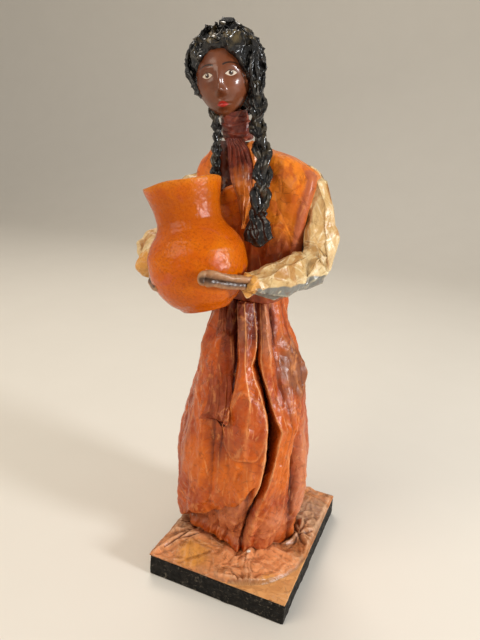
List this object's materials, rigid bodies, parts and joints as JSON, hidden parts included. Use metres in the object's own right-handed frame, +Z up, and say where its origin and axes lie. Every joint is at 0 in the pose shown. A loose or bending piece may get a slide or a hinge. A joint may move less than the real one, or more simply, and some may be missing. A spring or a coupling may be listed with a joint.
{
  "type": "papier-mache figure with a pot",
  "caption": "Standing papier-mache woman with braids and a long folded dress, holding a hollow clay pot in both arms, on a rectangular base.",
  "frame": {"origin": "centre of the base block's underside", "axes": "+Z up, +X along the front edge of the block towards the figure's left, -Y to the front"},
  "size_m": [0.1064, 0.1217, 0.2969],
  "materials": {
    "black_block": "rough black paint",
    "base_sheet": "varnished paper",
    "dress_paper": "varnished folded paper",
    "tunic_paper": "varnished paper",
    "scarf_paper": "varnished paper",
    "cream_paper": "varnished crumpled paper",
    "hand_paper": "rolled paper",
    "painted_skin": "glossy paint",
    "hair_paper": "glossy black crumpled paper",
    "pot_clay": "satin varnish",
    "pin_white": "glossy"
  },
  "bodies": {
    "root": {"base_block": "black_block", "base_paper": "base_sheet", "skirt": "dress_paper", "sash_end": "dress_paper", "bodice": "tunic_paper", "neck_scarf": "scarf_paper", "left_sleeve": "cream_paper", "right_sleeve": "cream_paper", "left_hand": "hand_paper", "right_hand": "hand_paper", "head": "painted_skin", "hair": "hair_paper", "left_braid": "hair_paper", "right_braid": "hair_paper", "pot": "pot_clay", "hem_pin": "pin_white"}
  },
  "joints": []
}
